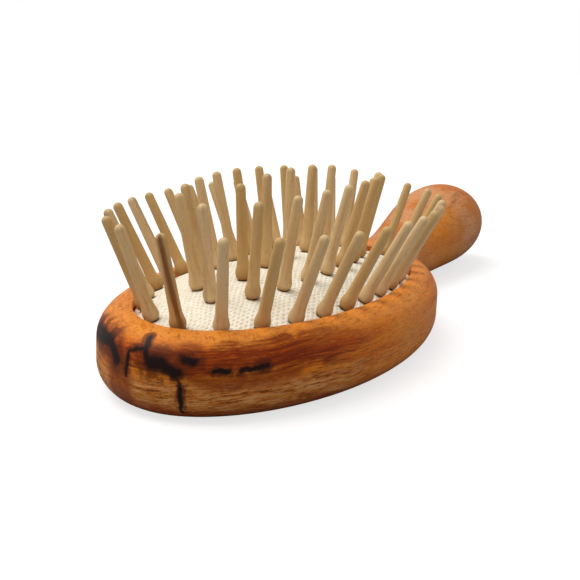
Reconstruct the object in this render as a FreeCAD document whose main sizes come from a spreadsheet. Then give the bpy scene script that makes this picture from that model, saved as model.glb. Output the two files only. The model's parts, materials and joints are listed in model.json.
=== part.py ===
"""Oval cushion hair brush: one-piece wooden body, rubber air cushion, cotton cover, turned wooden pins.

Frame: +X towards the handle end, +Z up out of the cushion, origin on the resting plane under the middle
of the brush's length. Millimetres.
"""
import FreeCAD, Part
import Sketcher
import math
import os
import re

SIZES = [
    # wooden body
    ("overall_length", 178.0, "head tip to handle end"),
    ("head_half_length", 51.8, "oval head, half its length"),
    ("head_half_width", 27.8, "oval head, half its width"),
    ("head_thickness", 13.9, "resting plane to rim top"),
    ("head_edge_radius", 5.0, "rounding of the head's upper edge"),
    ("head_back_radius", 5.2, "rounding of the head's lower edge"),
    ("head_side_flat", 0.6, "least flat left between the two roundings"),
    ("rim_width_ends", 6.9, "head's outline to the cushion's mouth, at the two ends"),
    ("rim_width_sides", 5.9, "head's outline to the cushion's mouth, at the two sides"),
    ("pocket_depth", 9.2, "rim top to the floor of the air chamber"),
    ("lip_thickness", 3.0, "wood above the bead groove"),
    ("groove_height", 2.4, "bead groove, floor to roof"),
    ("groove_reach", 1.6, "bead groove, how far it undercuts the mouth"),
    # handle
    ("root_inset", 20.0, "start of the handle inside the head's end"),
    ("root_narrowing", 8.3, "head's half width less the root's"),
    ("root_drop", 1.6, "rim top down to the top of the root"),
    ("root_lift", 1.3, "underside of the root above the resting plane"),
    ("neck_distance", 13.0, "head's end to the narrowest part of the neck"),
    ("neck_half_width", 8.8, "neck, half width"),
    ("neck_thickness", 13.4, "neck, top to bottom"),
    ("neck_lift", 0.7, "underside of the neck above the resting plane"),
    ("swell_share", 0.56, "growth from neck to grip reached halfway between them"),
    ("grip_lift", 0.1, "underside of the grip above the resting plane"),
    ("grip_from_end", 20.0, "widest part of the grip to the handle end"),
    ("grip_half_width", 12.0, "grip, half width"),
    ("grip_thickness", 22.6, "grip, top to bottom"),
    # cushion
    ("dome_rise", 6.1, "cloth at the mouth's edge to the top of the dome"),
    ("dome_edge_drop", 1.75, "rim top down to the cloth at the mouth's edge"),
    ("dome_reach", 1.5, "half axes of the dome's ellipsoid over those of the mouth"),
    ("cloth_thickness", 0.5, "cotton cover"),
    ("rubber_thickness", 1.6, "rubber cushion wall"),
    ("bead_width", 1.2, "bead and skirt, from the mouth's wall inwards"),
    ("cushion_clearance", 0.3, "soft pieces to the wood"),
    # pins
    ("pin_length", 18.0, "cloth to pin tip"),
    ("tip_radius", 0.9, "round tip"),
    ("shaft_radius", 1.08, "shaft just above the foot"),
    ("foot_radius", 1.4, "widest part of the foot"),
    ("foot_height", 0.9, "cloth to the widest part of the foot"),
    ("flare_height", 2.6, "cloth to the top of the foot's flare"),
    ("foot_gap", 0.15, "cloth to the underside of the foot"),
    ("waist_radius", 0.8, "waist that passes through cloth and rubber"),
    ("barb_radius", 1.4, "retaining head under the rubber"),
    ("barb_length", 1.3, "retaining head, along the pin"),
    ("barb_end_radius", 0.9, "lower end of the retaining head"),
    ("barb_gap", 0.25, "rubber to the retaining head"),
    ("rubber_hole_clearance", 0.05, "pin waist to its hole in the rubber"),
    ("cloth_hole_clearance", 0.3, "pin waist to its hole in the cloth"),
    # pin layout
    ("outer_count", 28, "pins in the outer oval"),
    ("outer_margin_ends", 2.9, "mouth's edge to the outer oval, at the two ends"),
    ("outer_margin_sides", 2.4, "mouth's edge to the outer oval, at the two sides"),
    ("middle_count", 18, "pins in the middle oval"),
    ("row_gap_ends", 11.0, "outer oval to the middle oval, at the two ends"),
    ("row_gap_sides", 9.3, "outer oval to the middle oval, at the two sides"),
    ("centre_count", 5, "pins in the centre row"),
    ("centre_gap", 12.0, "middle oval's end to the end of the centre row"),
    ("lengthwise_splay", 1.35, "lean of the pins along the brush, over that of a line square to the dome"),
]

# Lengths and places worked out from the driving sizes, as text that the objects are bound to.
HEAD_X = "( head_half_length - overall_length / 2 )"
HEAD_END_X = f"( {HEAD_X} + head_half_length )"
NECK_X = f"( {HEAD_END_X} + neck_distance )"
GRIP_X = "( overall_length / 2 - grip_from_end )"
NECK_Z = "( neck_lift + neck_thickness / 2 )"
GRIP_Z = "( grip_lift + grip_thickness / 2 )"
ROOT_WIDTH = "( head_half_width - root_narrowing )"
ROOT_THICKNESS = "( head_thickness - root_drop - root_lift )"
BACK_RADIUS = "min( head_back_radius; head_thickness - head_edge_radius - head_side_flat )"
MOUTH_LENGTH = "( head_half_length - rim_width_ends )"
MOUTH_WIDTH = "( head_half_width - rim_width_sides )"
OUTER_LENGTH = f"( {MOUTH_LENGTH} - outer_margin_ends )"
OUTER_WIDTH = f"( {MOUTH_WIDTH} - outer_margin_sides )"
MIDDLE_LENGTH = f"( {OUTER_LENGTH} - row_gap_ends )"
MIDDLE_WIDTH = f"( {OUTER_WIDTH} - row_gap_sides )"
CENTRE_LENGTH = f"( {MIDDLE_LENGTH} - centre_gap )"
LIP_Z = "( head_thickness - lip_thickness )"
GROOVE_Z = f"( {LIP_Z} - groove_height )"

# The cushion's dome is the top of an ellipsoid whose half axes in plan are the mouth's times dome_reach.
# At the mouth's edge it stands at DOME_EDGE of its own height, which fixes that height and its level.
DOME_EDGE = "sqrt(1 - 1 / (dome_reach * dome_reach))"
DOME_HEIGHT = f"( dome_rise / ( 1 - {DOME_EDGE} ) )"
DOME_Z = f"( head_thickness - dome_edge_drop - {DOME_HEIGHT} * {DOME_EDGE} )"

END_TURNS = (28, 50, 67, 79, 87)   # degrees round the quarter circle of the handle's end, one per section
OVAL_STEPS = 1440                  # straight steps that an oval's length is measured in

doc = FreeCAD.newDocument("cushion_brush")


def make_sheet():
    """Spreadsheet with one row per driving dimension: alias, value, meaning."""
    sheet = doc.addObject("Spreadsheet::Sheet", "sizes")
    for row, (alias, value, meaning) in enumerate(SIZES, start=1):
        sheet.set(f"A{row}", alias)
        sheet.set(f"B{row}", str(value))
        sheet.set(f"C{row}", meaning)
        sheet.setAlias(f"B{row}", alias)
    doc.recompute()
    return sheet


sizes = make_sheet()


def with_cells(text):
    """Write 'overall_length / 2' as 'sizes.overall_length / 2'."""
    words = {alias for alias, _, _ in SIZES}
    return re.sub(r"[a-z_]+", lambda word: f"sizes.{word[0]}" if word[0] in words else word[0], text)


def bind(item, **expressions):
    """Tie properties of an object to the sheet; two underscores in a name stand for a dot."""
    for path, text in expressions.items():
        item.setExpression(path.replace("__", "."), with_cells(text))


def value(text):
    """What an expression on the sheet's sizes comes to."""
    return float(sizes.evalExpression(with_cells(text)))


# --- wooden body -----------------------------------------------------------------------------------

def origin_plane(body, role):
    """One of a body's own three origin planes."""
    return next(feature for feature in body.Origin.OriginFeatures if feature.Role == role)


def oval_sketch(body, name, role, offset, half_major, half_minor):
    """Ellipse about the origin of a shifted origin plane, its two axes bound to the sheet."""
    sketch = body.newObject("Sketcher::SketchObject", name)
    sketch.AttachmentSupport = [(origin_plane(body, role), "")]
    sketch.MapMode = "FlatFace"
    for axis, text in zip("xyz", offset):
        sketch.setExpression(f"AttachmentOffset.Base.{axis}", with_cells(text))
    centre, major_end, minor_end = (FreeCAD.Vector(*at) for at in ((0, 0, 0), (20, 0, 0), (0, 10, 0)))
    oval = sketch.addGeometry(Part.Ellipse(major_end, minor_end, centre), False)
    sketch.exposeInternalGeometry(oval)
    major, minor = oval + 1, oval + 2
    sketch.addConstraint(Sketcher.Constraint("Coincident", oval, 3, -1, 1))
    sketch.addConstraint(Sketcher.Constraint("Horizontal", major))
    long_way = sketch.addConstraint(Sketcher.Constraint("Distance", major, 2 * major_end.Length))
    short_way = sketch.addConstraint(Sketcher.Constraint("Distance", minor, 2 * minor_end.Length))
    sketch.setExpression(f"Constraints[{long_way}]", with_cells(f"2 * ( {half_major} )"))
    sketch.setExpression(f"Constraints[{short_way}]", with_cells(f"2 * ( {half_minor} )"))
    return sketch


def part_way(start, end):
    """Text for the size that lies at swell_share of the way from one size to another."""
    return f"( {start} + ( {end} - {start} ) * swell_share )"


def handle_sections(body):
    """Elliptical sections from inside the head, through the neck and the grip, to the rounded end."""
    plan = [
        ("root", f"{HEAD_END_X} - root_inset", f"root_lift + {ROOT_THICKNESS} / 2",
         ROOT_WIDTH, f"{ROOT_THICKNESS} / 2"),
        ("neck", NECK_X, NECK_Z, "neck_half_width", "neck_thickness / 2"),
        ("swell", f"( {NECK_X} + {GRIP_X} ) / 2", part_way(NECK_Z, GRIP_Z),
         part_way("neck_half_width", "grip_half_width"),
         f"{part_way('neck_thickness', 'grip_thickness')} / 2"),
        ("grip", GRIP_X, GRIP_Z, "grip_half_width", "grip_thickness / 2"),
    ]
    for step, turn in enumerate(END_TURNS, start=1):
        along, across = math.sin(math.radians(turn)), math.cos(math.radians(turn))
        plan.append((f"end_{step}", f"{GRIP_X} + grip_from_end * {along:.5f}", GRIP_Z,
                     f"grip_half_width * {across:.5f}", f"grip_thickness / 2 * {across:.5f}"))
    return [oval_sketch(body, f"handle_{name}", "YZ_Plane", ("0", z, x), half_width, half_height)
            for name, x, z, half_width, half_height in plan]


def round_rim(body, name, level, radius):
    """Fillet on the flat edges that lie at a level."""
    base = body.Tip
    rim = [f"Edge{i}" for i, edge in enumerate(base.Shape.Edges, start=1)
           if edge.BoundBox.ZLength < 0.001 and abs(edge.BoundBox.ZMin - level) < 0.001]
    rounding = body.newObject("PartDesign::Fillet", name)
    rounding.Base = (base, rim)
    bind(rounding, Radius=radius)
    doc.recompute()


def cut_pocket(body, name, level, depth, half_length, half_width):
    """Oval pocket cut downwards from a level; returns the volume that is left."""
    outline = oval_sketch(body, f"{name}_outline", "XY_Plane", (HEAD_X, "0", level), half_length, half_width)
    pocket = body.newObject("PartDesign::Pocket", name)
    pocket.Profile = outline
    bind(pocket, Length=depth)
    doc.recompute()
    return body.Shape.Volume


def make_wooden_body():
    """Head with rounded edges, handle lofted out of it and levelled with the rim, then the hollows."""
    body = doc.addObject("PartDesign::Body", "wooden_body")
    body.Label = "wooden_body"
    outline = oval_sketch(body, "head_outline", "XY_Plane", (HEAD_X, "0", "0"),
                          "head_half_length", "head_half_width")
    head = body.newObject("PartDesign::Pad", "head")
    head.Profile = outline
    bind(head, Length="head_thickness")
    doc.recompute()
    round_rim(body, "rim_rounding", head.Shape.BoundBox.ZMax, "head_edge_radius")
    round_rim(body, "back_rounding", head.Shape.BoundBox.ZMin, BACK_RADIUS)
    handle = body.newObject("PartDesign::AdditiveLoft", "handle")
    sections = handle_sections(body)
    handle.Profile = sections[0]
    handle.Sections = sections[1:]
    doc.recompute()
    levelled = cut_pocket(body, "rim_top", "head_thickness + grip_thickness", "grip_thickness",
                          "head_half_length", "head_half_width")
    hollowed = cut_pocket(body, "air_chamber", "head_thickness", "pocket_depth", MOUTH_LENGTH, MOUTH_WIDTH)
    grooved = cut_pocket(body, "bead_groove", LIP_Z, "groove_height",
                         f"{MOUTH_LENGTH} + groove_reach", f"{MOUTH_WIDTH} + groove_reach")
    assert levelled > hollowed > grooved, "the air chamber or the bead groove cut nothing"


# --- cushion: rubber wall with its bead, cotton cover ------------------------------------------------

def oval_prism(name, margin, low, high):
    """Upright prism between two levels, its outline the mouth's oval less a margin all round."""
    oval = doc.addObject("Part::Ellipse", f"{name}_outline")
    bind(oval, MajorRadius=f"{MOUTH_LENGTH} - ( {margin} )", MinorRadius=f"{MOUTH_WIDTH} - ( {margin} )",
         Placement__Base__x=HEAD_X, Placement__Base__z=low)
    prism = doc.addObject("Part::Extrusion", name)
    prism.Base = oval
    prism.DirMode = "Custom"
    prism.Dir = FreeCAD.Vector(0, 0, 1)
    prism.Solid = True
    bind(prism, LengthFwd=f"( {high} ) - ( {low} )")
    return prism


def make_dome(name, inset):
    """Ellipsoid of the cushion, its half axes reduced by an inset."""
    dome = doc.addObject("Part::Ellipsoid", name)
    bind(dome, Radius1=f"{DOME_HEIGHT} - ( {inset} )", Radius2=f"{MOUTH_LENGTH} * dome_reach - ( {inset} )",
         Radius3=f"{MOUTH_WIDTH} * dome_reach - ( {inset} )",
         Placement__Base__x=HEAD_X, Placement__Base__z=DOME_Z)
    return dome


def combine(kind, name, base, tool):
    """Part boolean of two objects: Cut, Common or Fuse."""
    item = doc.addObject(f"Part::{kind}", name)
    item.Base, item.Tool = base, tool
    return item


def punch_holes(label, blank, clearance, pin_frames):
    """The finished piece: its blank with one hole round each pin's waist, wider by the clearance."""
    reach = value("cloth_thickness + rubber_thickness + foot_height")
    radius = value(f"waist_radius + {clearance}")
    punches = []
    for frame in pin_frames:
        punch = Part.makeCylinder(radius, 2 * reach, FreeCAD.Vector(0, 0, -reach))
        punch.Placement = frame
        punches.append(punch)
    group = doc.addObject("Part::Feature", f"{label}_punches")
    group.Shape = Part.makeCompound(punches)
    punched = combine("Cut", label, blank, group)
    punched.Label = label


def make_cotton_cover(outside, pin_frames):
    """One layer of cloth on the dome, down to the mouth's wall."""
    layer = combine("Cut", "cover_layer", outside, make_dome("cover_inside", "cloth_thickness"))
    mouth = oval_prism("cover_mouth", "cushion_clearance", LIP_Z, "head_thickness + dome_rise")
    blank = combine("Common", "cover_blank", layer, mouth)
    punch_holes("cotton_cover", blank, "cloth_hole_clearance", pin_frames)


def make_rubber_cushion(pin_frames):
    """Domed wall under the cloth; it ends in a skirt and in a bead that sits in the groove."""
    bead_low = f"{GROOVE_Z} + cushion_clearance"
    bead_high = f"{LIP_Z} - cushion_clearance"
    inner_margin = "bead_width + cushion_clearance"
    wall = combine("Common", "wall_above", make_dome("wall_outside", "cloth_thickness"),
                   oval_prism("skirt_outside", "cushion_clearance", bead_low, "head_thickness + dome_rise"))
    hollow = combine("Fuse", "wall_hollow", make_dome("wall_inside", "cloth_thickness + rubber_thickness"),
                     oval_prism("skirt_inside", inner_margin, f"{GROOVE_Z} - rubber_thickness",
                                f"{LIP_Z} - rubber_thickness / 4"))
    shell = combine("Cut", "wall_shell", wall, hollow)
    bead = combine("Cut", "bead",
                   oval_prism("bead_outside", "cushion_clearance - groove_reach", bead_low, bead_high),
                   oval_prism("bead_inside", inner_margin, bead_low, bead_high))
    blank = combine("Fuse", "rubber_blank", shell, bead)
    punch_holes("rubber_cushion", blank, "rubber_hole_clearance", pin_frames)


# --- pins --------------------------------------------------------------------------------------------

def oval_points(count, half_length, half_width):
    """Points spaced evenly along an ellipse, the first at its -X end, walking towards -Y."""
    turns = [math.pi + math.tau * i / OVAL_STEPS for i in range(OVAL_STEPS + 1)]
    places = [(half_length * math.cos(turn), half_width * math.sin(turn)) for turn in turns]
    run = [0.0]
    for here, there in zip(places, places[1:]):
        run.append(run[-1] + math.dist(here, there))
    points = []
    for i in range(count):
        goal = run[-1] * i / count
        step = next(k for k in range(OVAL_STEPS) if run[k + 1] > goal)
        share = (goal - run[step]) / (run[step + 1] - run[step])
        points.append(tuple(a + share * (b - a) for a, b in zip(places[step], places[step + 1])))
    return points


def pin_layout():
    """Name and plan position of every pin, measured from the middle of the head."""
    layout = []
    ovals = (("outer", OUTER_LENGTH, OUTER_WIDTH), ("middle", MIDDLE_LENGTH, MIDDLE_WIDTH))
    for ring, length, width in ovals:
        points = oval_points(int(value(f"{ring}_count")), value(length), value(width))
        layout += [(f"pin_{ring}_{i:02d}", point) for i, point in enumerate(points, start=1)]
    count, half_row = int(value("centre_count")), value(CENTRE_LENGTH)
    layout += [(f"pin_centre_{i + 1:02d}", (half_row * (2 * i / (count - 1) - 1), 0.0)) for i in range(count)]
    return layout


def pin_frame(dome, point):
    """Placement of a pin: its foot on the dome above a plan point, its axis square to the dome across the
    brush and splayed a little more than that along it."""
    height, length, width = (radius.Value for radius in (dome.Radius1, dome.Radius2, dome.Radius3))
    up = height * math.sqrt(1 - (point[0] / length) ** 2 - (point[1] / width) ** 2)
    along, across = value("lengthwise_splay") * point[0] / length ** 2, point[1] / width ** 2
    return FreeCAD.Placement(dome.Placement.Base + FreeCAD.Vector(*point, up),
                             FreeCAD.Rotation(FreeCAD.Vector(0, 0, 1),
                                              FreeCAD.Vector(along, across, up / height ** 2)))


def cone(name, low, high, low_radius, high_radius):
    """Cone frustum on the pin's axis; a cylinder where both radii are one value."""
    straight = low_radius == high_radius
    item = doc.addObject("Part::Cylinder" if straight else "Part::Cone", name)
    bind(item, Height=f"( {high} ) - ( {low} )", Placement__Base__z=low)
    if straight:
        bind(item, Radius=low_radius)
    else:
        bind(item, Radius1=low_radius, Radius2=high_radius)
    return item


def make_pin_blank():
    """One turned pin along Z, its foot at the origin: tip, shaft, flare, foot, waist, retaining head."""
    tip = doc.addObject("Part::Sphere", "tip")
    bind(tip, Radius="tip_radius", Placement__Base__z="pin_length - tip_radius")
    layers = "cloth_thickness + rubber_thickness + barb_gap"
    turned = doc.addObject("Part::MultiFuse", "pin_blank")
    turned.Shapes = [
        tip,
        cone("shaft", "flare_height", "pin_length - tip_radius", "shaft_radius", "tip_radius"),
        cone("flare", "foot_height", "flare_height", "foot_radius", "shaft_radius"),
        cone("foot", "foot_gap", "foot_height", "waist_radius + foot_gap", "foot_radius"),
        cone("waist", f"- ( {layers} )", "foot_gap", "waist_radius", "waist_radius"),
        cone("barb", f"- ( {layers} + barb_length )", f"- ( {layers} )", "barb_end_radius", "barb_radius"),
    ]
    doc.recompute()
    return turned


def make_pins(layout, pin_frames):
    """A copy of the turned pin at each place."""
    blank = make_pin_blank()
    for (name, _), frame in zip(layout, pin_frames):
        pin = doc.addObject("Part::Feature", name)
        pin.Label = name
        pin.Shape = blank.Shape.copy()
        pin.Placement = frame


# --- build, check, write -----------------------------------------------------------------------------

def main():
    """Make every piece, check it and write one file for each."""
    make_wooden_body()
    dome = make_dome("cover_outside", "0")
    doc.recompute()
    layout = pin_layout()
    pin_frames = [pin_frame(dome, point) for _, point in layout]
    make_cotton_cover(dome, pin_frames)
    make_rubber_cushion(pin_frames)
    make_pins(layout, pin_frames)
    doc.recompute()
    for item in doc.Objects:
        assert not {"Invalid", "Error"} & set(item.State), f"{item.Name} failed: {item.State}"
    nodes = ["wooden_body", "rubber_cushion", "cotton_cover"] + [name for name, _ in layout]
    os.makedirs("parts", exist_ok=True)
    for label in nodes:
        shape = doc.getObjectsByLabel(label)[0].Shape
        assert not shape.isNull() and shape.isValid() and len(shape.Solids) == 1, f"{label} is not one solid"
        shape.exportStep(f"parts/{label}.step")
    print(f"{len(nodes)} parts written")


main()
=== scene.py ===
import json
import math

import bmesh
import bpy
import numpy as np
from mathutils import Matrix, Vector


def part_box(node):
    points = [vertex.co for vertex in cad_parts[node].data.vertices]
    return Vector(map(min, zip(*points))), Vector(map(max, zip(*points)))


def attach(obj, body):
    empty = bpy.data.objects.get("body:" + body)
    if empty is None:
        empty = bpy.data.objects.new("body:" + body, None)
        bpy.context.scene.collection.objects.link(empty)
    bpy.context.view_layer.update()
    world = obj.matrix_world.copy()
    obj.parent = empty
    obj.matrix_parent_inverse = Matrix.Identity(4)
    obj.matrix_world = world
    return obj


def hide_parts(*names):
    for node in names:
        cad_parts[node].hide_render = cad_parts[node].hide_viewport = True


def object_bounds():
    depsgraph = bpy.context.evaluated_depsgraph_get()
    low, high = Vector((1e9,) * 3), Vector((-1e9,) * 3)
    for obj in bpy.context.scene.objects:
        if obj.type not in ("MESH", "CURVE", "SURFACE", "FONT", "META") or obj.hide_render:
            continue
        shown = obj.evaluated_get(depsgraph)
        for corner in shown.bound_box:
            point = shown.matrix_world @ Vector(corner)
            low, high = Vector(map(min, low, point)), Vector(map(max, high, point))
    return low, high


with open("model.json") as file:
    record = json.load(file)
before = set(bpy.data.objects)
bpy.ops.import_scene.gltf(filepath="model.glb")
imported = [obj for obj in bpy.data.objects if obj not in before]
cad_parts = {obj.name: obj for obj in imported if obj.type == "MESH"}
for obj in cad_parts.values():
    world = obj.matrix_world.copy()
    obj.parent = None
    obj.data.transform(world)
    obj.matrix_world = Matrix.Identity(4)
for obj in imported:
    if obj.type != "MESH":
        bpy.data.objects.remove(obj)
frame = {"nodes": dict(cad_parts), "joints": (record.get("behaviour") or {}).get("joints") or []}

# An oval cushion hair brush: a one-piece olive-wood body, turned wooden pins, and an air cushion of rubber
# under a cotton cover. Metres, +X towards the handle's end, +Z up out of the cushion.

cad_low, cad_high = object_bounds()
MM = 0.001

# --- Wooden body ------------------------------------------------------------------------------------
# One piece of olive wood, sawn along the grain, shaped and sanded by hand to an oval head, a waist and a
# full round grip, then oiled and polished. Black mineral veins break through it at the head's tip.


class Value:
    """One output of a node. Arithmetic between values, or values and numbers, adds Math nodes."""

    def __init__(self, tree, link):
        self.tree = tree
        self.link = link

    def node(self, kind, settings, sockets, output=0):
        """Add a node of a type: its settings first, then its sockets' numbers or links."""
        made = self.tree.nodes.new(kind)
        for name, setting in settings.items():
            setattr(made, name, setting)
        for name, given in sockets.items():
            if isinstance(given, Value):
                self.tree.links.new(given.link, made.inputs[name])
            else:
                made.inputs[name].default_value = given
        return Value(self.tree, made.outputs[output])

    def maths(self, operation, first, second=0.0, clamp=False):
        settings = {"operation": operation, "use_clamp": clamp}
        return self.node("ShaderNodeMath", settings, {0: first, 1: second})

    def vector(self, operation, second, output=0):
        """Vector Math of this vector and a second one."""
        return self.node("ShaderNodeVectorMath", {"operation": operation}, {0: self, 1: second}, output)

    def __add__(self, other):
        return self.maths("ADD", self, other)

    __radd__ = __add__

    def __sub__(self, other):
        return self.maths("SUBTRACT", self, other)

    def __rsub__(self, other):
        return self.maths("SUBTRACT", other, self)

    def __mul__(self, other):
        return self.maths("MULTIPLY", self, other)

    __rmul__ = __mul__

    def __truediv__(self, other):
        return self.maths("DIVIDE", self, other)

    def least(self, other):
        return self.maths("MINIMUM", self, other)

    def between(self, low, high):
        """0 at low, 1 at high, and a smooth step from one to the other."""
        settings = {"interpolation_type": "SMOOTHSTEP"}
        return self.node("ShaderNodeMapRange", settings, {"Value": self, "From Min": low, "From Max": high})

    def colours(self, low, high):
        """Colour that turns from low to high as this goes from 0 to 1."""
        return self.node("ShaderNodeMix", {"data_type": "RGBA"}, {0: self, 6: low, 7: high}, output=2)

    def stretched(self, along, across, up):
        """These coordinates, each multiplied by a number of its own."""
        return self.vector("MULTIPLY", (along, across, up))

    def noise(self, scale, detail=2.0, roughness=0.5, output=0):
        sockets = {"Vector": self, "Scale": scale, "Detail": detail, "Roughness": roughness}
        return self.node("ShaderNodeTexNoise", {}, sockets, output)

    def parts(self):
        """The three coordinates of this vector."""
        split = self.node("ShaderNodeSeparateXYZ", {}, {0: self})
        outputs = split.link.node.outputs
        return [Value(self.tree, outputs[axis]) for axis in range(3)]


def colour(red, green, blue):
    """Screen colour, 0 to 255 each, as the linear colour that nodes take."""
    channels = np.array([red, green, blue]) / 255
    linear = np.where(channels > 0.04045, ((channels + 0.055) / 1.055) ** 2.4, channels / 12.92)
    return (*linear.tolist(), 1.0)


def new_material(name):
    """A material with one Principled shader; returns it, the shader and the place on the object in mm."""
    material = bpy.data.materials.new(name)
    material.use_nodes = True
    tree = material.node_tree
    shader = tree.nodes["Principled BSDF"]
    coordinates = Value(tree, tree.nodes.new("ShaderNodeTexCoord").outputs["Object"])
    return material, shader, coordinates.vector("MULTIPLY", (1 / MM,) * 3)


def connect(shader, **inputs):
    """Link values to the shader's sockets, or set plain numbers; underscores in a name stand for spaces."""
    for name, given in inputs.items():
        socket = shader.inputs[name.replace("_", " ")]
        if isinstance(given, Value):
            given.tree.links.new(given.link, socket)
        else:
            socket.default_value = given


def relief(height, depth):
    """Normal of a surface that rises by a height field times a depth in mm."""
    sockets = {"Height": height, "Distance": depth * MM, "Strength": 1.0}
    return height.node("ShaderNodeBump", {}, sockets)


def vein(place, points, width):
    """1 on a broken line inside the wood, falling to 0 at a width from it. The distance to each straight
    piece is what is left of the way from its start, less the share of it that runs along the piece."""
    nearest = None
    for start, end in zip(points, points[1:]):
        run = Vector(end) - Vector(start)
        way = place.vector("SUBTRACT", start)
        share = way.vector("DOT_PRODUCT", tuple(run / run.length_squared), output=1)
        held = way.maths("MULTIPLY", share, 1.0, clamp=True)
        along = way.node("ShaderNodeVectorMath", {"operation": "SCALE"}, {0: tuple(run), "Scale": held})
        distance = way.vector("DISTANCE", along, output=1)
        nearest = distance if nearest is None else nearest.least(distance)
    return (nearest / width).between(1.0, 0.5)


def veins(place, lines, spread):
    """The strongest of several broken lines, each as wide as its own half width times a spread."""
    strongest = None
    for width, points in lines:
        found = vein(place, points, width * spread)
        strongest = found if strongest is None else strongest.maths("MAXIMUM", strongest, found)
    return strongest


BLACK_VEINS = (   # half width in mm, then points on the surface
    (1.3, ((-79, 16.5, 10.6), (-82.5, 12.5, 10.9), (-85.5, 9.2, 11))),
    (0.9, ((-85.5, 9.2, 11), (-87, 7.4, 10.2), (-87.6, 6.6, 8.6))),
    (0.38, ((-88.3, 4.3, 6.7), (-88.5, 3.9, 9.3), (-88.2, 3.7, 11), (-88.2, 2.2, 11.6),
            (-88.2, 0.7, 11.6))),
    (0.5, ((-86.7, 1.1, 13.2), (-88.2, 0.6, 11.8), (-88.7, 0.1, 10.4), (-88.8, -0.6, 9.8))),
    (1.2, ((-88.8, -0.6, 9.8), (-88.7, -2.4, 9.9))),
    (1.0, ((-88.7, -2.4, 10.1), (-88.6, -3.6, 9.1), (-88.2, -4.8, 8.5))),
    (0.34, ((-88.3, -4.8, 8.8), (-88.2, -5.4, 7.3), (-88.1, -5.6, 5.6), (-87.7, -5.4, 3.4),
            (-86.6, -5.4, 1.2))),
    (0.7, ((-87.7, -5.8, 10.9), (-86.9, -7.4, 10.6))),
    (0.36, ((-85.4, -10.1, 9.0), (-84.0, -12, 9.0))),
    (0.48, ((-82.4, -13.6, 9.0), (-80.8, -14.9, 9.1), (-79.0, -16.2, 9.4))),
)
BROWN_STREAKS = (
    (1.6, ((-87.5, 6.6, 8), (-87.8, 5.8, 6), (-87.2, 6, 3))),
    (1.6, ((-87.2, -6.6, 10.6), (-86.4, -8.8, 9.4), (-85.4, -10.6, 9.0), (-80.8, -14.9, 9.2),
           (-75, -18.4, 9.9))),
    (0.9, ((-84.5, -10.5, 12.3), (-82.3, -11.9, 12.2), (-80.9, -13.9, 11.8), (-78, -15.6, 12.2),
           (-74.2, -17.2, 12.6))),
    (0.8, ((-71, -19.1, 12.5), (-68.6, -20.2, 12.5), (-64.8, -21.7, 12.4), (-58, -24.2, 12.2))),
    (1.3, ((-77.5, -17.4, 10.9), (-68, -21.2, 11.1), (-60, -23.9, 11.3))),
    (0.7, ((-68.3, -22.2, 8.9), (-65.5, -23.3, 8.6), (-58, -25.5, 8.6))),
    (0.5, ((-85.6, -9.8, 7.2), (-82.8, -13.1, 6.7))),
)
RAY_TURN = math.radians(-38)   # short flecks on the rim lie across the length
MIDDLE = (0.5, 0.5, 0.5)       # mean of a noise's colour

# Where the finish changes, in mm: each pair is where a change starts and where it is complete.
TIP = (-46.0, -70.0)           # along the brush, from the head's middle towards its tip
HANDLE = (8.0, 24.0)           # along the brush, from the head to the handle
STREAKS_END = (-57.0, -69.0)   # the brown streaks die out away from the tip
STREAK_FLOOR = (8.2, 9.4)      # heights from here on
STREAK_ROOF = (13.0, 11.6)
LOW_LAYER = (8.4, 5.6)
# heights over which the painted shade of the lower edge comes in
KEEL = (3.4, 1.0)
FLAT_BACK = (0.9, 0.1)
HANDLE_KEEL = (6.0, 1.0)
# heights over which the rim's top turns paler, partly its own colour and partly painted light
RIM = (12.4, 13.5)


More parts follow.
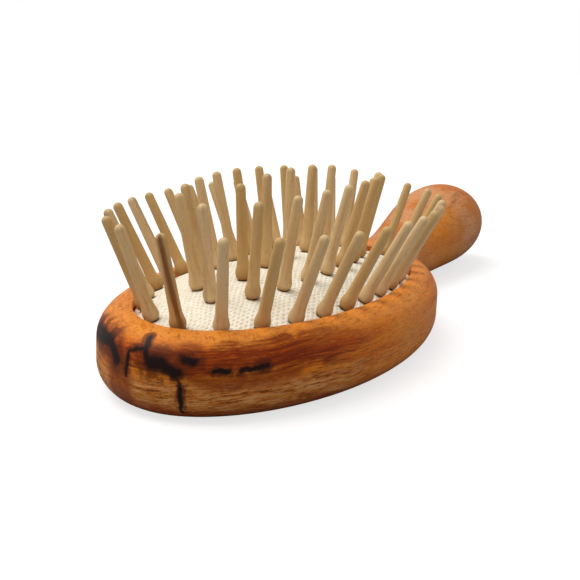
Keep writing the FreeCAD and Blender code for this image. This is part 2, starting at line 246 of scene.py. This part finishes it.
def olive_wood():
    """Oiled heartwood. Its layers follow the height above the rest: a rim made paler, partly its own colour
    and partly painted light from overhead, a deep orange layer with dark streaks, a tan layer of fine
    threads lower down at the tip, and a lower edge darkened to red-brown as painted shade. The handle is
    paler and blotched, and the flat back shows rings along its length."""
    material, shader, place = new_material("olive_wood")
    x, y, z = place.parts()
    drift = place.noise(0.045, 2.0, output=1).vector("SUBTRACT", MIDDLE)
    warped = place.vector("ADD", drift.stretched(0.0, 0.0, 4.5))
    bands = warped.stretched(0.045, 0.07, 0.9).noise(0.6, 4.0, 0.6)
    threads = warped.stretched(0.13, 0.20, 2.4).noise(1.0, 6.0, 0.78)
    fine = place.stretched(0.30, 0.9, 3.4).noise(1.5, 3.0, 0.6)
    clouds = place.stretched(0.6, 1.0, 0.8).noise(0.13, 3.0)
    rings = place.stretched(0.03, 0.42, 0.25).noise(0.8, 4.0, 0.62)
    rays = place.node("ShaderNodeMapping", {}, {"Vector": place, "Rotation": (0.0, 0.0, RAY_TURN)})
    frayed = rays.vector("ADD", drift.stretched(6.0, 6.0, 0.0))
    ticks = frayed.stretched(0.34, 2.6, 1.4).noise(0.9, 4.0, 0.7)
    mottle = place.stretched(0.5, 0.7, 1.6).noise(0.55, 4.0, 0.7)

    wood = bands.between(0.36, 0.62).colours(colour(238, 140, 20), colour(220, 112, 4))
    wood = (clouds.between(0.44, 0.66) * 0.8).colours(wood, colour(226, 136, 44))
    reddish = bands.between(0.54, 0.68) * threads.between(0.38, 0.58)
    wood = (reddish * mottle.between(0.42, 0.54) * 0.60).colours(wood, colour(134, 50, 0))
    tip = x.between(*TIP)
    streaked = (z + (threads - 0.5) * 5).between(*STREAK_FLOOR) * tip
    streaked = streaked * (z + (bands - 0.5) * 6).between(*STREAK_ROOF)
    wood = (streaked * 0.78).colours(wood, colour(176, 62, 0))
    wood = (streaked * threads.between(0.46, 0.58) * 0.85).colours(wood, colour(112, 30, 0))
    low_layer = (z + (threads - 0.5) * 6).between(*LOW_LAYER)
    wood = (low_layer * (0.10 + tip * 0.60)).colours(wood, colour(176, 104, 40))
    patchy = low_layer * (0.30 + tip * 0.5)
    wood = (patchy * mottle.between(0.46, 0.62)).colours(wood, colour(206, 142, 78))
    wood = (patchy * mottle.between(0.46, 0.32)).colours(wood, colour(126, 56, 6))
    wood = (patchy * threads.between(0.51, 0.59)).colours(wood, colour(226, 166, 108))
    wood = (patchy * threads.between(0.47, 0.39)).colours(wood, colour(86, 30, 0))
    # Painted shade: the lower edge, where the side turns under towards the floor, is darkened to red-brown.
    shaded_keel = (z + (bands - 0.5) * 5).between(*KEEL)
    wood = (shaded_keel * (0.45 + tip * 0.45)).colours(wood, colour(140, 44, 2))
    back = z.between(*FLAT_BACK)
    planed = rings.between(0.40, 0.62).colours(colour(204, 118, 44), colour(140, 62, 16))
    wood = back.colours(wood, planed)
    handle = x.between(*HANDLE)
    held = clouds.between(0.38, 0.60).colours(colour(196, 112, 36), colour(210, 148, 98))
    held = (rings.between(0.50, 0.64) * 0.70).colours(held, colour(154, 84, 42))
    patch = x.between(27.0, 38.0) * x.between(62.0, 46.0) * y.between(-2.0, -9.0)   # one orange blotch
    held = (patch * clouds.between(0.30, 0.46) * 0.85).colours(held, colour(212, 124, 14))
    held = ((z + (bands - 0.5) * 6).between(*HANDLE_KEEL) * 0.6).colours(held, colour(152, 76, 20))
    wood = (handle * 0.85).colours(wood, held)
    rim = (z + (clouds - 0.5) * 3).between(*RIM) * (1 - handle)
    # The rim's top is made paler: partly the wood's own colour, partly painted light where it faces the lamp
    # overhead.
    wood = (rim * 0.70).colours(wood, colour(236, 148, 58))
    wood = (rim * ticks.between(0.48, 0.66) * 0.55).colours(wood, colour(188, 92, 14))
    wood = (fine.between(0.48, 0.34) * 0.42).colours(wood, colour(120, 50, 4))
    wood = (fine.between(0.56, 0.70) * 0.36).colours(wood, colour(244, 164, 72))

    jitter = place.noise(0.55, 5.0, 0.7, output=1).vector("SUBTRACT", MIDDLE).stretched(1.5, 1.5, 1.5)
    ragged = place.vector("ADD", jitter)
    stain = place.noise(0.35, 3.0, 0.6)
    grainy = (0.35 + threads.between(0.36, 0.58) * 0.65) * x.between(*STREAKS_END)
    wood = (veins(ragged, BROWN_STREAKS, 2.6) * grainy * 0.85).colours(wood, colour(124, 40, 0))
    halo = veins(ragged, BLACK_VEINS, 3.4) * stain.between(0.32, 0.54)
    wood = (halo * 0.85).colours(wood, colour(96, 36, 4))
    edge = veins(ragged, BLACK_VEINS, 1.6) * stain.between(0.26, 0.42)
    wood = (edge * 0.80).colours(wood, colour(46, 16, 8))
    core = veins(ragged, BLACK_VEINS, 1.0) * stain.between(0.24, 0.36)
    wood = (core * 0.85).colours(wood, colour(16, 6, 8))
    gloss = 0.40 + fine * 0.16
    connect(shader, Base_Color=wood, Roughness=gloss, Normal=relief(fine, 0.03))
    shader.inputs["Specular IOR Level"].default_value = 0.14
    return material


def finish_node(node, material):
    """A CAD node whose shape is right takes a finish."""
    piece = frame["nodes"][node]
    piece.data.materials.clear()
    piece.data.materials.append(material)


finish_node("wooden_body", olive_wood())

# --- Rubber cushion ---------------------------------------------------------------------------------
# Moulded natural rubber, a domed wall with a bead that snaps into the groove under the mouth's lip. The
# pins' heads are pulled through it from above, so it holds them upright and lets them give.


def moulded_rubber():
    """Brown rubber with the faint pebble of a matt mould and a bloom that lightens it in patches."""
    material, shader, place = new_material("natural_rubber")
    bloom = place.noise(0.25, 3.0)
    pebble = place.noise(4.0, 2.0)
    skin = bloom.between(0.35, 0.7).colours(colour(168, 126, 86), colour(192, 154, 112))
    connect(shader, Base_Color=skin, Roughness=0.62 + pebble * 0.2, Normal=relief(pebble, 0.02))
    return material


finish_node("rubber_cushion", moulded_rubber())

# --- Pins -------------------------------------------------------------------------------------------
# Each pin is turned from a pale hardwood rod: a round tip, a straight shaft that widens a little, and a
# flared foot that sits on the cloth. Its waist and head go down through cloth and rubber.

PIN_LENGTH = 18.0        # mm, cloth to tip
TIP_RADIUS = 0.9
SHAFT_RADIUS = 1.08      # just above the flare
FOOT_RADIUS = 1.46
FOOT_HEIGHT = 1.15       # cloth to the foot's widest
TAPER_FOOT = 2.6         # cloth to where the taper reaches the shaft's full radius
FLARE_RINGS = (4.0, 3.4) # heights between which the rings change from the shaft's to the flare's
FLARE = 1.25             # height over which the flare dies out
WAIST_RADIUS = 0.8
UNDERCUT = 0.08          # the foot's underside ends this much outside the waist
LIFT = 0.02              # and this much above the cloth
HEAD_RADIUS = 1.38       # retaining head under the rubber
HEAD_END_RADIUS = 0.9
HEAD_TOP = -2.35
HEAD_BOTTOM = -3.63
PIVOT_DEPTH = 1.05       # cloth to the joint, half way through cloth and rubber
PIN_SIDES = 20
STRIPED_PIN = "pin_outer_01"   # one pin is turned from a rod with dark heartwood along one side
STRIPE_TURN = 2.2        # where it runs, radians round the pin
STRIPE_WANDER = 0.6      # how far it turns from tip to foot
STRIPE_EDGE = (6.0, 4.7) # steepness of its sides, and the level that sets its width
GRAIN_ROUND, GRAIN_ALONG, GRAIN_APART = 1.2, 0.12, 9   # grain round a pin, along it, and from pin to pin
SAME_POINT = 0.002       # points closer than this are one

dice = np.random.default_rng(7)


def pin_profile():
    """Radius and height down the turned pin: a quarter circle at the tip, a straight taper with a
    bell-shaped flare that grows as exp(-(h/flare)^2) towards the foot, a quarter ellipse under it, waist
    and head."""
    turn = np.linspace(0, math.pi / 2, 6)
    tip_radii, tip_heights = TIP_RADIUS * np.sin(turn), PIN_LENGTH - TIP_RADIUS * (1 - np.cos(turn))
    shaft_heights = np.linspace(tip_heights[-1], FLARE_RINGS[0], 6)[1:]
    heights = np.concatenate([shaft_heights, np.linspace(FLARE_RINGS[1], FOOT_HEIGHT, 7)])
    run = (tip_heights[-1] - heights) / (tip_heights[-1] - TAPER_FOOT)
    taper = TIP_RADIUS + (SHAFT_RADIUS - TIP_RADIUS) * run
    flare = (FOOT_RADIUS - SHAFT_RADIUS - LIFT) * np.exp(-(((heights - FOOT_HEIGHT) / FLARE) ** 2))
    under = np.linspace(0, math.pi / 2, 5)[1:]
    foot_radii = WAIST_RADIUS + UNDERCUT + (FOOT_RADIUS - WAIST_RADIUS - UNDERCUT) * np.cos(under)
    foot_heights = FOOT_HEIGHT * (1 - np.sin(under)) + LIFT
    hidden_radii = np.array([WAIST_RADIUS, WAIST_RADIUS, HEAD_RADIUS, HEAD_END_RADIUS, 0.0])
    hidden_heights = np.array([0.0, HEAD_TOP, HEAD_TOP, HEAD_BOTTOM, HEAD_BOTTOM])
    radii = np.concatenate([tip_radii, taper + flare, foot_radii, hidden_radii])
    return radii, np.concatenate([tip_heights, heights, foot_heights, hidden_heights])


def grid_faces(rings, sides):
    """Quads between neighbouring rings of a closed tube, in ring-major order."""
    ring, side = np.meshgrid(np.arange(rings - 1), np.arange(sides), indexing="ij")
    after = (side + 1) % sides
    return np.stack([ring * sides + side, (ring + 1) * sides + side,
                     (ring + 1) * sides + after, ring * sides + after], axis=-1).reshape(-1, 4)


def new_piece(name, points, faces, material):
    """Smooth-shaded object at the origin from points and quads."""
    mesh = bpy.data.meshes.new(name)
    mesh.from_pydata(points.tolist(), [], faces.tolist())
    mesh.validate()
    mesh.polygons.foreach_set("use_smooth", np.ones(len(mesh.polygons), bool))
    mesh.materials.append(material)
    piece = bpy.data.objects.new(name, mesh)
    bpy.context.scene.collection.objects.link(piece)
    return piece


def close_poles(piece):
    """Merge the rings that have shrunk to one point, drop points that only divide an edge, and turn every
    face outwards."""
    mesh = bmesh.new()
    mesh.from_mesh(piece.data)
    bmesh.ops.remove_doubles(mesh, verts=mesh.verts, dist=SAME_POINT * MM)
    between = [vertex for vertex in mesh.verts if len(vertex.link_edges) == 2]
    bmesh.ops.dissolve_verts(mesh, verts=between)
    bmesh.ops.recalc_face_normals(mesh, faces=mesh.faces)
    mesh.to_mesh(piece.data)
    mesh.free()


def pin_axis(node, pivot):
    """Unit vector from a pin's joint to the far end of its tip."""
    corners = np.array([vertex.co for vertex in frame["nodes"][node].data.vertices])
    reach = corners - np.array(pivot)
    far = reach[np.argmax((reach ** 2).sum(axis=1))]
    return far / np.linalg.norm(far)


def pin_points(node, pivot):
    """The turned profile carried round the pin's own axis: each point is the foot plus height times the
    axis plus radius times a direction that turns about it."""
    axis = pin_axis(node, pivot)
    side = np.cross(axis, (1.0, 0.0, 0.0))
    side /= np.linalg.norm(side)
    front = np.cross(axis, side)
    radii, heights = pin_profile()
    start = dice.uniform(0, math.tau)
    turns = start + np.arange(PIN_SIDES) * math.tau / PIN_SIDES
    outward = np.cos(turns)[:, None] * side + np.sin(turns)[:, None] * front
    foot = np.array(pivot) + axis * PIVOT_DEPTH * MM
    rings = foot + MM * (heights[:, None, None] * axis + radii[:, None, None] * outward)
    return rings.reshape(-1, 3), heights, turns


def mark(mesh, name, numbers):
    """Store one number for each point of a mesh."""
    attribute = mesh.attributes.new(name, "FLOAT", "POINT")
    attribute.data.foreach_set("value", np.asarray(numbers, np.float32))


def turned_hardwood():
    """Pale straw-coloured wood with fine grain along each pin; tone and heartwood stripe are per pin."""
    material, shader, place = new_material("pin_wood")
    tone = place.node("ShaderNodeAttribute", {"attribute_name": "tone"}, {}, output=2)
    stripe = place.node("ShaderNodeAttribute", {"attribute_name": "stripe"}, {}, output=2)
    height = place.node("ShaderNodeAttribute", {"attribute_name": "height"}, {}, output=2)
    grain_place = place.node("ShaderNodeAttribute", {"attribute_name": "grain"}, {}, output=1)
    grain = grain_place.noise(1.0, 3.0, 0.6)
    pores = grain_place.stretched(1.0, 1.0, 3.0).noise(2.4, 2.0)
    wood = tone.colours(colour(228, 198, 150), colour(204, 164, 100))
    wood = (grain.between(0.42, 0.68) * 0.40).colours(wood, colour(184, 142, 84))
    wood = (pores.between(0.60, 0.72) * 0.30).colours(wood, colour(156, 112, 60))
    wood = (stripe * grain.between(0.28, 0.50)).colours(wood, colour(122, 62, 16))
    # Darker over the flare on the deeper-toned pins; lower down, painted shade where each foot meets the
    # cloth.
    wood = (height.between(3.0, 0.6) * tone.between(0.35, 1.0) * 0.6).colours(wood, colour(158, 100, 36))
    wood = (height.between(1.2, 0.0) * 0.55).colours(wood, colour(116, 76, 26))
    connect(shader, Base_Color=wood, Roughness=0.42 + grain * 0.15, Normal=relief(grain, 0.02))
    shader.inputs["Specular IOR Level"].default_value = 0.35
    return material


pin_material = turned_hardwood()
pivots = {joint["child"]: joint["pos_m"] for joint in frame["joints"] if joint["child"].startswith("pin_")}
for node, pivot in pivots.items():
    points, heights, turns = pin_points(node, pivot)
    pin = new_piece(f"turned_{node}", points, grid_faces(len(heights), PIN_SIDES), pin_material)
    tone = dice.uniform(0.0, 1.0)
    around = np.tile(turns, len(heights))
    mark(pin.data, "tone", np.full(len(points), tone))
    mark(pin.data, "height", np.repeat(heights, PIN_SIDES))
    heartwood = 0.85 if node == STRIPED_PIN else dice.choice([0.0, 0.0, 0.0, 0.35])
    stripe_turn = STRIPE_TURN if node == STRIPED_PIN else dice.uniform(0, math.tau)
    wander = np.repeat(STRIPE_WANDER * (0.5 - heights / PIN_LENGTH), PIN_SIDES)
    stripe = np.cos(around - stripe_turn - wander) * STRIPE_EDGE[0] - STRIPE_EDGE[1]
    mark(pin.data, "stripe", heartwood * np.clip(stripe, 0, 1))
    grain = np.stack([np.cos(around) * GRAIN_ROUND + GRAIN_APART * tone, np.sin(around) * GRAIN_ROUND,
                      np.repeat(heights, PIN_SIDES) * GRAIN_ALONG], axis=1)
    grain_mark = pin.data.attributes.new("grain", "FLOAT_VECTOR", "POINT")
    grain_mark.data.foreach_set("vector", grain.astype(np.float32).ravel())
    close_poles(pin)
    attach(pin, node)
    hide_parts(node)

# --- Cotton cover -----------------------------------------------------------------------------------
# Undyed plain-woven cotton, bonded to the rubber and stretched with it over the dome, its edge tucked down
# inside the mouth. The air in the cushion swells it a little between the pins.

CLOTH_THICKNESS = 0.5    # mm
SWELL = 0.16             # rise between the pins
SWELL_REACH = 2.6        # distance from a pin over which the cloth comes up
DIMPLE = 0.16            # dip under each pin's foot, which leaves it room to rock
DIMPLE_REACH = 1.9
EDGE_TUCK = 0.5          # how far the edge is pulled down at the mouth's wall
RINGS, SECTORS = 100, 240
OFF_AXIS = 0.37          # part of a sector by which the grid is turned, so that no line meets a hole's edge
EDGE_BAND = 0.08         # share of the half width over which the edge comes down
HOLE_RADIUS = 1.1        # under the pin's foot, wider than its waist
HOLE_SIDES = 12
PUNCH_REACH = 2.0        # the punch goes this far past the cloth, up and down
THREAD_PITCH = (1.15, 0.44)   # along and across the brush

cover_low, cover_high = (np.array(corner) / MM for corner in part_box("cotton_cover"))
cover_centre = (cover_low + cover_high) / 2
cover_half = (cover_high - cover_low) / 2
pin_axes = [pin_axis(node, pivot) for node, pivot in pivots.items()]
feet = np.array(list(pivots.values())) / MM + np.array(pin_axes) * PIVOT_DEPTH


def dome_height(from_x, from_y):
    """Level of the cloth at distances from its centre: a sum of even powers of the distance, as a share of
    the cover's half length and half width, fitted to the pins' feet."""
    scaled = ((feet[:, 0] - cover_centre[0]) / cover_half[0]) ** 2 + (feet[:, 1] / cover_half[1]) ** 2
    terms = np.stack([np.ones_like(scaled), scaled, scaled ** 2], axis=1)
    fitted = np.linalg.lstsq(terms, feet[:, 2], rcond=None)[0]
    spread = (from_x / cover_half[0]) ** 2 + (from_y / cover_half[1]) ** 2
    return fitted[0] + fitted[1] * spread + fitted[2] * spread ** 2


def cover_points():
    """Top and underside of the cloth on rings of a shrinking oval: each point is the oval's at its turn
    times the ring's share, raised by the dome and by a swell that grows with the distance to the nearest
    pin, with a dimple at each pin. The underside lies on the plain dome of the rubber."""
    shares = np.sin(np.linspace(0, math.pi / 2, RINGS))
    turns = (np.arange(SECTORS) + OFF_AXIS) * math.tau / SECTORS
    x = shares[:, None] * np.cos(turns) * cover_half[0]
    y = shares[:, None] * np.sin(turns) * cover_half[1]
    plan = np.stack([x + cover_centre[0], y], axis=-1)
    nearest = np.sqrt(((plan[:, :, None] - feet[:, :2]) ** 2).sum(axis=-1)).min(axis=2)
    held = np.exp(-((nearest / SWELL_REACH) ** 2))
    edge = np.clip((1 - shares[:, None]) / EDGE_BAND, 0, 1)
    dimple = DIMPLE * np.exp(-((nearest / DIMPLE_REACH) ** 4))
    dome = dome_height(x, y) - EDGE_TUCK * (1 - edge) ** 2
    top = dome + SWELL * (1 - held) * edge - dimple
    upper = np.stack([plan[..., 0], plan[..., 1], top], axis=-1)
    lower = np.stack([plan[..., 0], plan[..., 1], dome - CLOTH_THICKNESS], axis=-1)
    return np.concatenate([upper, lower[::-1]]) * MM


def pierce(piece, centres, axes):
    """Cut a round hole under each pin's foot, with one mesh of many-sided rods as the punch."""
    rings = []
    faces = []
    sides = np.arange(HOLE_SIDES)
    turns = (sides + OFF_AXIS) * math.tau / HOLE_SIDES
    after = (sides + 1) % HOLE_SIDES
    for index, (centre, axis) in enumerate(zip(centres, axes)):
        side = np.cross(axis, (1.0, 0.0, 0.0))
        side /= np.linalg.norm(side)
        ring = np.cos(turns)[:, None] * side + np.sin(turns)[:, None] * np.cross(axis, side)
        rings += [(centre + HOLE_RADIUS * ring + level * axis) * MM for level in (-PUNCH_REACH, PUNCH_REACH)]
        low = index * 2 * HOLE_SIDES
        high = low + HOLE_SIDES
        faces.append((low + sides[::-1]).tolist())
        faces.append((high + sides).tolist())
        faces += np.stack([low + sides, low + after, high + after, high + sides], axis=1).tolist()
    mesh = bpy.data.meshes.new("punches")
    mesh.from_pydata(np.concatenate(rings).tolist(), [], faces)
    punches = bpy.data.objects.new("punches", mesh)
    bpy.context.scene.collection.objects.link(punches)
    cut = piece.modifiers.new("holes", "BOOLEAN")
    cut.operation = "DIFFERENCE"
    cut.object = punches
    cut.solver = "EXACT"
    result = bpy.data.meshes.new_from_object(piece.evaluated_get(bpy.context.evaluated_depsgraph_get()))
    piece.modifiers.clear()
    piece.data = result
    bpy.data.objects.remove(punches)


def woven_cotton():
    """Plain weave: two crossing sets of threads that dip under each other, with slubs and a few dark
    flecks."""
    material, shader, place = new_material("cotton_cloth")
    sway = place.noise(0.12, 2.0, output=1).vector("SUBTRACT", MIDDLE).stretched(1.6, 1.6, 0.0)
    x, y = place.vector("ADD", sway).parts()[:2]
    along = x * (math.pi / THREAD_PITCH[0])
    across = y * (math.pi / THREAD_PITCH[1])
    warp = along.maths("SINE", along)
    weft = across.maths("SINE", across)
    over = warp * weft
    slubs = place.stretched(0.5, 1.0, 1.0).noise(1.4, 3.0)
    flecks = place.noise(2.2, 2.0)
    cloth = slubs.between(0.40, 0.66).colours(colour(255, 249, 230), colour(246, 234, 206))
    cloth = (over.between(0.30, 0.85) * 0.42).colours(cloth, colour(176, 152, 108))
    cloth = (flecks.between(0.68, 0.76) * 0.4).colours(cloth, colour(168, 146, 112))
    connect(shader, Base_Color=cloth, Roughness=0.9, Normal=relief(over, -0.06))
    shader.inputs["Sheen Weight"].default_value = 0.15
    return material


cover_sheet = cover_points()
cover_faces = grid_faces(2 * RINGS, SECTORS)
cover = new_piece("stretched_cotton_cover", cover_sheet.reshape(-1, 3), cover_faces, woven_cotton())
close_poles(cover)
pierce(cover, feet, pin_axes)
close_poles(cover)
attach(cover, "cushion")
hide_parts("cotton_cover")
flat_size = tuple((2 * cover_half[:2] * MM).tolist())
math.pi / 4 * flat_size[0] * flat_size[1]

# --- Floor, light and camera ------------------------------------------------------------------------
# A white studio floor, one large soft light, mostly overhead, and even light from all round.

FLOOR_GLOW = 0.70
FLOOR_HALF = 6.0
FLOOR_DROP = 0.02 * MM   # keeps the floor's face clear of the brush's flat back


def studio_floor():
    """Grey to everything that it lights; to the camera it also glows, so that it is white and its shadow
    faint."""
    material, shader, place = new_material("studio_floor")
    seen = place.node("ShaderNodeLightPath", {}, {})
    glow = (seen * FLOOR_GLOW).colours((0.0, 0.0, 0.0, 1.0), (1.0, 1.0, 1.0, 1.0))
    connect(shader, Base_Color=colour(166, 165, 163), Roughness=0.95)
    connect(shader, Emission_Color=glow, Emission_Strength=1.0)
    return material


corner_signs = ((-1, -1), (1, -1), (1, 1), (-1, 1))
floor_corners = [(x * FLOOR_HALF, y * FLOOR_HALF, cad_low.z - FLOOR_DROP) for x, y in corner_signs]
floor_mesh = bpy.data.meshes.new("studio_floor")
floor_mesh.from_pydata(floor_corners, [], [(0, 1, 2, 3)])
floor_mesh.materials.append(studio_floor())
floor = bpy.data.objects.new("studio_floor", floor_mesh)
bpy.context.scene.collection.objects.link(floor)

SKY_LEVEL = 0.5
LAMP_LEVEL = 2.1
LAMP_FROM = (-0.10, 0.42, 0.90)   # the light comes from here, mostly overhead

world = bpy.data.worlds.new("studio")
world.use_nodes = True
bpy.context.scene.world = world
backdrop = world.node_tree.nodes["Background"]
backdrop.inputs["Color"].default_value = (1.0, 1.0, 1.0, 1.0)
sky = Value(world.node_tree, backdrop.outputs[0])
seen = sky.node("ShaderNodeLightPath", {}, {})
world.node_tree.links.new((SKY_LEVEL + seen * (1.0 - SKY_LEVEL)).link, backdrop.inputs["Strength"])

lamp = bpy.data.lights.new("overhead_light", "SUN")
lamp.angle = math.radians(50)
lamp.energy = LAMP_LEVEL
overhead = bpy.data.objects.new("overhead_light", lamp)
overhead.rotation_mode = "QUATERNION"
overhead.rotation_quaternion = Vector(LAMP_FROM).to_track_quat("Z", "Y")
bpy.context.scene.collection.objects.link(overhead)

CAMERA_PLACE = Vector((-0.2230, -0.0836, 0.0583))
CAMERA_TURN = math.radians(23.97)    # from +X towards +Y
CAMERA_DIP = math.radians(12.9)
CAMERA_LEAN = math.radians(2.64)     # clockwise about the line of sight
LENS = 64.6                          # mm on a 36 mm sensor

forward, down = math.cos(CAMERA_DIP), math.sin(CAMERA_DIP)
sight = Vector((forward * math.cos(CAMERA_TURN), forward * math.sin(CAMERA_TURN), -down))
level_right = Vector((math.sin(CAMERA_TURN), -math.cos(CAMERA_TURN), 0.0))
level_up = level_right.cross(sight)
right = math.cos(CAMERA_LEAN) * level_right + math.sin(CAMERA_LEAN) * level_up
camera_up = math.cos(CAMERA_LEAN) * level_up - math.sin(CAMERA_LEAN) * level_right
lens = bpy.data.cameras.new("camera")
lens.lens = LENS
lens.sensor_width = 36.0
lens.clip_start = 0.01
camera = bpy.data.objects.new("camera", lens)
camera_axes = Matrix((right, camera_up, -sight)).transposed().to_4x4()
camera.matrix_world = Matrix.Translation(CAMERA_PLACE) @ camera_axes
bpy.context.scene.collection.objects.link(camera)
bpy.context.scene.camera = camera
bpy.context.scene.view_settings.view_transform = "Standard"
